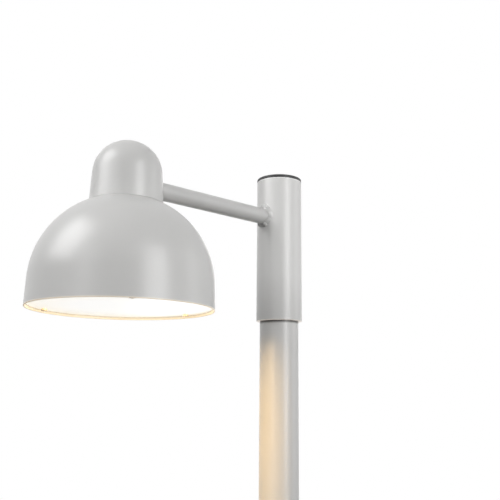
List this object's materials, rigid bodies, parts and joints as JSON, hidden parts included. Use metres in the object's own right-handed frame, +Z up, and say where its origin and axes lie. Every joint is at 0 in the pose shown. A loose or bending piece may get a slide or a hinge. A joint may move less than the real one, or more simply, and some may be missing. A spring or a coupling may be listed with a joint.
{
  "type": "garden lamp post",
  "caption": "Garden lamp post: a round post on a bolt-down base plate, and a straight arm from a clamped sleeve that carries a domed downlight with an opal diffuser.",
  "frame": {"origin": "centre of the base plate's underside, in the middle of the four bolt holes", "axes": "+Z up along the post, -X from the post towards the lamp head"},
  "size_m": [0.5169, 0.242, 2.2013],
  "materials": {
    "silver_paint": "satin",
    "silver_paint_cast": "satin",
    "black_plastic": "satin",
    "rubber": "matte",
    "zinc": "satin",
    "dark_steel": "satin",
    "stainless": "polished",
    "sheet_metal": "satin",
    "brass": "satin",
    "porcelain": "gloss",
    "white_plastic": "satin",
    "wire_sleeving": "satin",
    "bulb_white": "satin",
    "opal_plastic": "satin"
  },
  "bodies": {
    "root": {"base_plate": "silver_paint", "base_weld": "silver_paint", "post_tube": "silver_paint", "sleeve": "silver_paint", "sleeve_end_cap": "black_plastic", "set_screws": "dark_steel", "arm_tube": "silver_paint", "arm_weld": "silver_paint", "arm_bush": "rubber", "shade": "silver_paint_cast", "cap_housing": "silver_paint_cast", "cap_gasket": "rubber", "cap_screws": "zinc", "clamp_screw": "dark_steel", "cap_bush": "rubber", "mounting_plate": "sheet_metal", "terminal_block": "white_plastic", "terminal_inserts": "brass", "block_screws": "zinc", "earth_stud": "brass", "earth_nut": "brass", "holder_nipple": "brass", "holder_nut": "brass", "lampholder": "porcelain", "holder_shell": "brass", "holder_contact": "brass", "holder_leads": "wire_sleeving", "lamp_bulb": "bulb_white", "diffuser": "opal_plastic", "diffuser_gasket": "rubber", "diffuser_screws": "stainless"}
  },
  "joints": []
}
